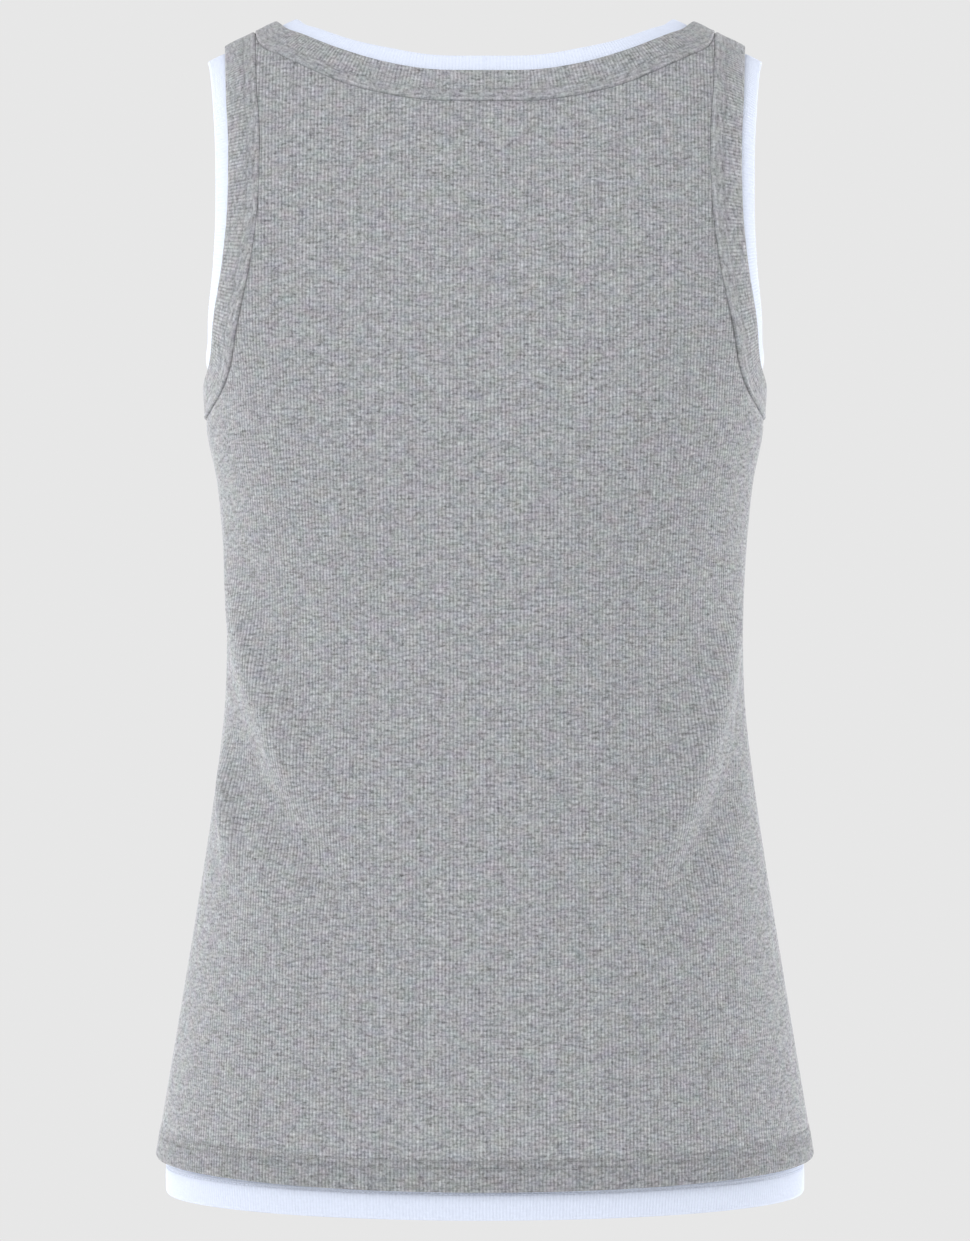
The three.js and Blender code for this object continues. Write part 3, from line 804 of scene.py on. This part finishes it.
def stitch_run(shell, line, normals, sizes):
    """Threads laid end to end along a line, each a short bar with rounded ends."""
    length, thickness = sizes.stitch_length / MM, sizes.thread_thickness / MM
    gaps = np.linalg.norm(np.diff(line, axis=0), axis=1)
    reach = np.concatenate([[0], np.cumsum(gaps)])
    count = max(1, int(reach[-1] / length))
    centres = (np.arange(count) + 0.5) * reach[-1] / count

    def sample(rows, at):
        return np.stack([np.interp(at, reach, rows[:, k]) for k in range(3)], axis=1)

    stations = np.array([-0.44, -0.33, 0.0, 0.33, 0.44]) * length
    swell = np.array([0.35, 0.85, 1.0, 0.85, 0.35]) * thickness / 2
    sink = np.array([-0.3, 0.02, 0.12, 0.02, -0.3])
    around = np.arange(THREAD_SIDES) * 2 * np.pi / THREAD_SIDES
    size = len(stations) * THREAD_SIDES
    for centre in centres:
        at = np.clip(centre + stations, 0, reach[-1])
        middle = sample(line, at)
        normal = sample(normals, at)
        tangent = middle[-1] - middle[0]
        tangent /= np.linalg.norm(tangent)
        side = np.cross(normal, tangent)
        ring = (
            middle[:, None]
            + normal[:, None] * sink[:, None, None]
            + side[:, None] * (np.cos(around)[None, :] * swell[:, None])[..., None]
            + normal[:, None] * (np.sin(around)[None, :] * swell[:, None])[..., None]
        )
        cloth = np.zeros((size, 3))
        cloth[:, 0] = np.repeat(at, THREAD_SIDES)
        base = shell.add(ring.reshape(-1, 3), cloth, np.zeros((size, 3)), np.zeros(size))[0]
        faces = []
        last = base + size - THREAD_SIDES
        for row in range(base, last, THREAD_SIDES):
            for c in range(THREAD_SIDES):
                a, b = row + c, row + (c + 1) % THREAD_SIDES
                faces += [(a, b, b + THREAD_SIDES), (a, b + THREAD_SIDES, a + THREAD_SIDES)]
        faces += [(base, base + c + 1, base + c) for c in range(1, THREAD_SIDES - 1)]
        faces += [(last, last + c, last + c + 1) for c in range(1, THREAD_SIDES - 1)]
        shell.faces.append(np.array(faces))


def panel_lift(layer, side, points, w):
    """Height of a panel's outer face over the form, without its ribs."""
    z = points[:, 2]
    side_w = GIRTHS[side].total(z)
    return fold_rise(side, w, z, side_w) - curve_through(layer["under"], 1, z)


def sew_edge(shell, layer_name, kind, sizes):
    """Both needle rows along the seam side of one kind of binding."""
    layer = LAYERS[layer_name]
    for side in (BACK, FRONT):
        for row in BINDING_ROWS:
            line = edge_line(layer, side, kind, layer["binding"][kind] - row)
            normal = outward(side, line)
            lift = layer["proud"] - curve_through(layer["under"], 1, line[:, 2]) - 0.22
            line = line + normal * lift[:, None]
            for mirror in (1, -1):
                flip = np.array((mirror, 1, 1))
                stitch_run(shell, line * flip, normal * flip, sizes)


def sew_hem(shell, layer_name, sizes):
    """Both needle rows round a layer's hem."""
    layer = LAYERS[layer_name]
    for side in (BACK, FRONT):
        girth = GIRTHS[side]
        for height in HEM_ROWS[layer_name]:
            share = np.linspace(-1, 1, 161)
            z = layer["hem"] + height - layer["dip"] * (1 - share**2)
            w = share * (girth.total(z) - 1.0)
            line = girth.points(w, z)
            normal = outward(side, line)
            lift = panel_lift(layer, side, line, w) + 0.1
            line = line + normal * (lift - sizes.rib_relief / MM * 0.4)[:, None]
            stitch_run(shell, line, normal, sizes)


# Finishes
class Flow:
    """A node's output that can be used in plain arithmetic."""

    def __init__(self, finish, socket):
        self.finish = finish
        self.socket = socket

    def math(self, operation, *others, swapped=False):
        values = [self, *others]
        if swapped:
            values.reverse()
        return self.finish.node("ShaderNodeMath", {"operation": operation}, dict(enumerate(values)))

    def __add__(self, other):
        return self.math("ADD", other)

    def __sub__(self, other):
        return self.math("SUBTRACT", other)

    def __mul__(self, other):
        return self.math("MULTIPLY", other)

    def __truediv__(self, other):
        return self.math("DIVIDE", other)

    def __rsub__(self, other):
        return self.math("SUBTRACT", other, swapped=True)

    __radd__ = __add__
    __rmul__ = __mul__


class Finish:
    """A material whose nodes are added one by one."""

    def __init__(self, name):
        self.material = bpy.data.materials.new(name)
        self.material.use_nodes = True
        self.tree = self.material.node_tree
        self.shader = self.tree.nodes["Principled BSDF"]

    def node(self, kind, settings=None, inputs=None, output=0):
        """Adds a node with its settings and inputs, and returns one of its outputs."""
        added = self.tree.nodes.new(kind)
        for key, value in (settings or {}).items():
            setattr(added, key, value)
        for key, value in (inputs or {}).items():
            if isinstance(value, Flow):
                self.tree.links.new(value.socket, added.inputs[key])
            else:
                added.inputs[key].default_value = value
        return Flow(self, added.outputs[output])

    def mix(self, first, second, factor, blend="MIX"):
        """One colour over another."""
        settings = {"data_type": "RGBA", "blend_type": blend}
        return self.node("ShaderNodeMix", settings, {0: factor, 6: first, 7: second}, 2)

    def feed(self, key, value):
        if isinstance(value, Flow):
            self.tree.links.new(value.socket, self.shader.inputs[key])
        else:
            self.shader.inputs[key].default_value = value

    def axes(self, name):
        """The three numbers of a vector attribute."""
        vector = self.node("ShaderNodeAttribute", {"attribute_name": name}, None, 1)
        split = self.node("ShaderNodeSeparateXYZ", None, {0: vector})
        node = split.socket.node
        return [Flow(self, node.outputs[k]) for k in range(3)]

    def noise(self, x, y, z, detail=2.0, roughness=0.6, output=0):
        """Noise whose blobs are one unit across."""
        place = self.node("ShaderNodeCombineXYZ", None, {0: x, 1: y, 2: z})
        inputs = {"Vector": place, "Scale": 1.0, "Detail": detail, "Roughness": roughness}
        return self.node("ShaderNodeTexNoise", None, inputs, output)

    def bell(self, value, centre, width):
        """One at a value and falling off on both sides of it."""
        away = (value - centre) / width
        return (away * away * -1.0).math("EXPONENT")


def linear(colour):
    return (*colour[:3], 1.0)


def knit_finish(name, colour, marl, sheen, groove, rows, hem_rows):
    """Rib knit: marl flecks, painted shade in the grooves between ribs, knitted loops, painted
    shadow along the seams, and painted shade and highlight by the needle rows and hem.
    """
    finish = Finish(name)
    w, v, k = finish.axes("cloth")
    seam, hem, side = finish.axes("edges")
    rib = finish.node("ShaderNodeAttribute", {"attribute_name": "rib"}, None, 2)

    grain = finish.noise(w / 1.25, v / 1.5, k, 2.0, 0.75) - 0.5
    run = finish.noise(w / 1.3, v / 6.0, k + 17.0, 2.0, 0.6) - 0.5
    streak = finish.noise(w / 5.2, v / 1.35, k + 31.0, 2.0, 0.5) - 0.5
    cloud = finish.noise(w / 15.0, v / 8.0, k + 67.0, 3.0, 0.6) - 0.5
    tint = finish.noise(w / 9.0, v / 7.0, k + 113.0, 2.0, 0.6, 1)
    fleck = finish.noise(w / 2.8, v / 1.5, k + 151.0, 1.0, 0.5)
    dark_fleck = ((fleck - 0.56) * 6.0).math("MAXIMUM", 0.0).math("MINIMUM", 1.0)

    shade = 1.0 + marl * (grain * 1.6 + run * 0.6 + streak * 1.35 + cloud * 0.4)
    shade = shade * (1.0 - marl * 0.3 * dark_fleck)
    # Painted shade: the grooves between the ribs are darkened in the colour, by the share groove
    shade = shade * (1.0 - groove + rib * groove * (1.0 + grain))
    # Painted shadow along the seams, where the bindings stand proud over the panels, stronger lower
    # down; painted shade along the side seams
    low = ((v + 90.0) / -70.0).math("MAXIMUM", 0.0).math("MINIMUM", 1.0)
    painted_shade_and_highlight = finish.bell(seam, 0.0, 0.7) * (0.04 + low * 0.24)
    painted_shade_and_highlight = painted_shade_and_highlight + finish.bell(side, 0.0, 0.8) * 0.3
    if rows:
        # Painted shade along the binding's needle rows, and a painted highlight on the ridge
        # between the near row and the seam
        painted_shade_and_highlight = painted_shade_and_highlight + finish.bell(seam, rows[1], 0.55) * 0.17
        painted_shade_and_highlight = painted_shade_and_highlight + finish.bell(seam, rows[0], 0.5) * 0.08
        painted_shade_and_highlight = painted_shade_and_highlight - finish.bell(seam, rows[0] / 2, 0.6) * 0.1
    else:
        # Painted shade along the hem's needle rows, and over the turned hem, darker towards the
        # bottom
        for row in hem_rows:
            painted_shade_and_highlight = painted_shade_and_highlight + finish.bell(hem, row, 0.6) * 0.16
        turned = (hem_rows[1] - hem).math("MAXIMUM", 0.0).math("MINIMUM", 1.0)
        painted_shade_and_highlight = painted_shade_and_highlight + turned * 0.12
    # The painted shade and highlight above darken and lighten the cloth's colour
    shade = shade * (1.0 - painted_shade_and_highlight)
    grey = finish.node("ShaderNodeCombineColor", None, {0: shade, 1: shade, 2: shade})
    base = finish.mix(linear(colour), grey, 1.0, "MULTIPLY")
    base = finish.mix(base, finish.mix(base, tint, 1.0, "SOFT_LIGHT"), 0.13 * marl)
    finish.feed("Base Color", base)
    finish.feed("Roughness", 0.93)
    finish.feed("Specular IOR Level", 0.2)
    finish.feed("Sheen Weight", sheen)
    finish.feed("Sheen Roughness", 0.55)

    loop = (v * (2 * math.pi / 0.62)).math("SINE")
    hollow = finish.bell(seam, 0.0, 0.8)
    for row in hem_rows:
        hollow = hollow + finish.bell(hem, row, 0.6) * 0.8
    height = loop * 0.05 + grain * 0.22 + streak * 0.12 - hollow * 0.35
    bump = finish.node(
        "ShaderNodeBump", None, {"Strength": 0.8, "Distance": MM, "Height": height}
    )
    finish.feed("Normal", bump)
    return finish.material


def thread_finish(name, colour):
    """Spun sewing thread."""
    finish = Finish(name)
    twist = (finish.axes("cloth")[0] * 9.0).math("SINE")
    shade = 1.0 + twist * 0.08
    grey = finish.node("ShaderNodeCombineColor", None, {0: shade, 1: shade, 2: shade})
    finish.feed("Base Color", finish.mix(linear(colour), grey, 1.0, "MULTIPLY"))
    finish.feed("Roughness", 0.75)
    return finish.material


def cloth_material(key):
    """The finish of a layer's panels or bindings, made once."""
    made = bpy.data.materials.get(key)
    if made:
        return made
    look = bpy.context.scene.tank_top_colours
    if key == "grey_rib_knit":
        return knit_finish(key, look.grey, 1.0, 0.2, 0.18, (), HEM_ROWS["outer"])
    if key == "grey_binding_knit":
        return knit_finish(key, look.grey, 1.0, 0.2, 0.17, BINDING_ROWS, ())
    if key == "white_rib_knit":
        return knit_finish(key, look.white, 0.06, 0.1, 0.03, (), HEM_ROWS["inner"])
    if key == "white_binding_knit":
        # Painted shade: the white bindings take a darker copy of the white panels' colour
        doubled = [part * WHITE_BINDING_PAINTED_SHADE for part in look.white]
        return knit_finish(key, doubled, 0.06, 0.1, 0.02, BINDING_ROWS, ())
    if key == "grey_thread":
        return thread_finish(key, look.grey_thread)
    return thread_finish(key, look.white)


def size_property(name, description, default, low, high):
    return FloatProperty(
        name=name,
        description=description,
        default=default,
        min=low,
        max=high,
        precision=5,
        unit="LENGTH",
    )


def colour_property(name, description, default):
    return FloatVectorProperty(
        name=name, description=description, default=default, subtype="COLOR", min=0.0, max=1.0
    )


class TankTopSizes(bpy.types.PropertyGroup):
    """Sizes of the knit and its sewing"""

    rib_pitch: size_property(
        "Rib pitch", "Distance from one knitted rib to the next", 0.00193, 0.001, 0.006
    )
    rib_relief: size_property(
        "Rib relief", "Height of a rib over the groove beside it", 0.0004, 0.0, 0.001
    )
    stitch_length: size_property(
        "Stitch length", "Length of one stitch of the twin-needle rows", 0.0027, 0.0015, 0.006
    )
    thread_thickness: size_property(
        "Thread thickness", "Thickness of the sewing thread", 0.00038, 0.0001, 0.001
    )


class TankTopColours(bpy.types.PropertyGroup):
    """Colours of the yarns and the studio"""

    grey: colour_property(
        "Grey marl", "Mean colour of the outer layer's yarn", (0.374, 0.382, 0.4)
    )
    white: colour_property("White", "Colour of the under layer's yarn", (0.78, 0.84, 0.985))
    grey_thread: colour_property(
        "Grey thread", "Colour of the outer layer's sewing thread", (0.31, 0.315, 0.325)
    )
    studio: colour_property("Studio", "Colour of the backdrop", (0.8, 0.8, 0.8))


def knit_both_panels(layer_name, material, slot):
    sizes = bpy.context.scene.tank_top_sizes
    for side, word in ((BACK, "back"), (FRONT, "front")):
        name = f"{layer_name}_{word}"
        piece = knit_panel(
            f"{name}_cloth", layer_name, side, sizes, cloth_material(material), slot, name
        )


def knit_all_bindings(layer_name, material, slot):
    sizes = bpy.context.scene.tank_top_sizes
    for word, kind, mirror in (
        ("neck_band", "neck", False),
        ("arm_band_right", "arm", False),
        ("arm_band_left", "arm", True),
    ):
        name = f"{layer_name}_{word}"
        piece = knit_binding(
            f"{name}_cloth", layer_name, kind, mirror, sizes, cloth_material(material), slot, name
        )
        width = LAYERS[layer_name]["binding"][kind] * MM


class TANK_TOP_OT_grey_panels(bpy.types.Operator):
    """Knits the front and back of the grey outer tank"""

    bl_idname = "tank_top.grey_panels"
    bl_label = "Grey panels"

    def execute(self, context):
        knit_both_panels("outer", "grey_rib_knit", "grey_rib")
        return {"FINISHED"}


class TANK_TOP_OT_white_panels(bpy.types.Operator):
    """Knits the front and back of the white under tank"""

    bl_idname = "tank_top.white_panels"
    bl_label = "White panels"

    def execute(self, context):
        knit_both_panels("inner", "white_rib_knit", "white_rib")
        return {"FINISHED"}


class TANK_TOP_OT_grey_bindings(bpy.types.Operator):
    """Binds the neck and both armholes of the grey tank"""

    bl_idname = "tank_top.grey_bindings"
    bl_label = "Grey bindings"

    def execute(self, context):
        knit_all_bindings("outer", "grey_binding_knit", "grey_binding")
        return {"FINISHED"}


class TANK_TOP_OT_white_bindings(bpy.types.Operator):
    """Binds the neck and both armholes of the white tank"""

    bl_idname = "tank_top.white_bindings"
    bl_label = "White bindings"

    def execute(self, context):
        knit_all_bindings("inner", "white_binding_knit", "white_binding")
        return {"FINISHED"}


class TANK_TOP_OT_stitching(bpy.types.Operator):
    """Sews the twin-needle rows beside the bindings and round the hems"""

    bl_idname = "tank_top.stitching"
    bl_label = "Stitching"

    def execute(self, context):
        sizes = context.scene.tank_top_sizes
        for kind in ("neck", "arm"):
            shell = Shell()
            sew_edge(shell, "outer", kind, sizes)
            shell.build(f"{kind}_stitching", cloth_material("grey_thread"), "grey_rib")
        for layer_name, thread, slot in (
            ("outer", "grey_thread", "grey_rib"),
            ("inner", "white_thread", "white_rib"),
        ):
            shell = Shell()
            sew_hem(shell, layer_name, sizes)
            shell.build(f"{layer_name}_hem_stitching", cloth_material(thread), slot)
        return {"FINISHED"}


CAMERA_AWAY = 2.5
CAMERA_HEIGHT = -0.316
VIEW_WIDTH = 0.6701
FLOOR_RADIUS = 1.15
FLOOR_HEIGHT = -0.95
FLOOR_SIDES = 96
# Name, place, size across and power of each light, and the height that they aim at
LIGHTS = (
    ("key_light", (-0.6, -2.2, 0.5), 1.2, 25),
    ("left_light", (-1.8, 0.9, -0.35), 1.0, 30),
    ("right_light", (1.8, 0.9, -0.35), 1.0, 33),
    ("far_light", (0.4, 2.3, 1.0), 1.6, 26),
)
AIM_HEIGHT = -0.3


class TANK_TOP_OT_studio(bpy.types.Operator):
    """Sets up the camera, the pale floor and soft studio light"""

    bl_idname = "tank_top.studio"
    bl_label = "Studio"

    def execute(self, context):
        scene = context.scene
        camera = bpy.data.objects.new("camera", bpy.data.cameras.new("camera"))
        scene.collection.objects.link(camera)
        camera.location = (0, -CAMERA_AWAY, CAMERA_HEIGHT)
        camera.rotation_euler = (math.pi / 2, 0, 0)
        camera.data.sensor_width = 36
        camera.data.lens = camera.data.sensor_width * CAMERA_AWAY / VIEW_WIDTH
        camera.data.clip_end = 50
        scene.camera = camera
        scene.view_settings.view_transform = "Standard"

        look = scene.tank_top_colours
        world = bpy.data.worlds.new("studio")
        scene.world = world
        world.use_nodes = True
        background = world.node_tree.nodes["Background"]
        background.inputs["Color"].default_value = linear(look.studio)
        background.inputs["Strength"].default_value = 1.0

        mesh = bpy.data.meshes.new("floor")
        rim = []
        for i in range(FLOOR_SIDES):
            turn = 2 * math.pi * i / FLOOR_SIDES
            x, y = FLOOR_RADIUS * math.cos(turn), FLOOR_RADIUS * math.sin(turn)
            rim.append((x, y, FLOOR_HEIGHT))
        mesh.from_pydata(rim, [], [list(range(FLOOR_SIDES))])
        floor = bpy.data.objects.new("floor", mesh)
        scene.collection.objects.link(floor)
        finish = Finish("floor")
        finish.feed("Base Color", linear(look.studio))
        finish.feed("Roughness", 0.9)
        mesh.materials.append(finish.material)

        for name, place, size, power in LIGHTS:
            light = bpy.data.objects.new(name, bpy.data.lights.new(name, "AREA"))
            scene.collection.objects.link(light)
            light.data.size = size
            light.data.energy = power
            light.location = place
            aim = -np.array(place) + (0, 0, AIM_HEIGHT)
            yaw = math.atan2(aim[1], aim[0])
            pitch = math.atan2(aim[2], math.hypot(aim[0], aim[1]))
            light.rotation_euler = (math.pi / 2 + pitch, 0, yaw - math.pi / 2)
        return {"FINISHED"}


class TANK_TOP_PT_sidebar(bpy.types.Panel):
    """Sizes, colours and pieces of the tank top"""

    bl_idname = "TANK_TOP_PT_sidebar"
    bl_label = "Tank Top"
    bl_space_type = "VIEW_3D"
    bl_region_type = "UI"
    bl_category = "Tank Top"

    def draw(self, context):
        layout = self.layout
        for group in (context.scene.tank_top_sizes, context.scene.tank_top_colours):
            for key in group.__annotations__:
                layout.prop(group, key)
        for operator in OPERATORS:
            layout.operator(operator.bl_idname)


OPERATORS = (
    TANK_TOP_OT_studio,
    TANK_TOP_OT_stitching,
    TANK_TOP_OT_grey_panels,
    TANK_TOP_OT_white_panels,
    TANK_TOP_OT_grey_bindings,
    TANK_TOP_OT_white_bindings,
)
CLASSES = (TankTopSizes, TankTopColours, *OPERATORS, TANK_TOP_PT_sidebar)


def register():
    for cls in CLASSES:
        bpy.utils.register_class(cls)
    bpy.types.Scene.tank_top_sizes = PointerProperty(type=TankTopSizes)
    bpy.types.Scene.tank_top_colours = PointerProperty(type=TankTopColours)


def unregister():
    del bpy.types.Scene.tank_top_colours
    del bpy.types.Scene.tank_top_sizes
    for cls in reversed(CLASSES):
        bpy.utils.unregister_class(cls)


def main():
    register()
    bpy.ops.tank_top.studio()
    bpy.ops.tank_top.stitching()
    bpy.ops.tank_top.grey_panels()
    bpy.ops.tank_top.white_panels()
    bpy.ops.tank_top.grey_bindings()
    bpy.ops.tank_top.white_bindings()


if __name__ == "__main__":
    main()
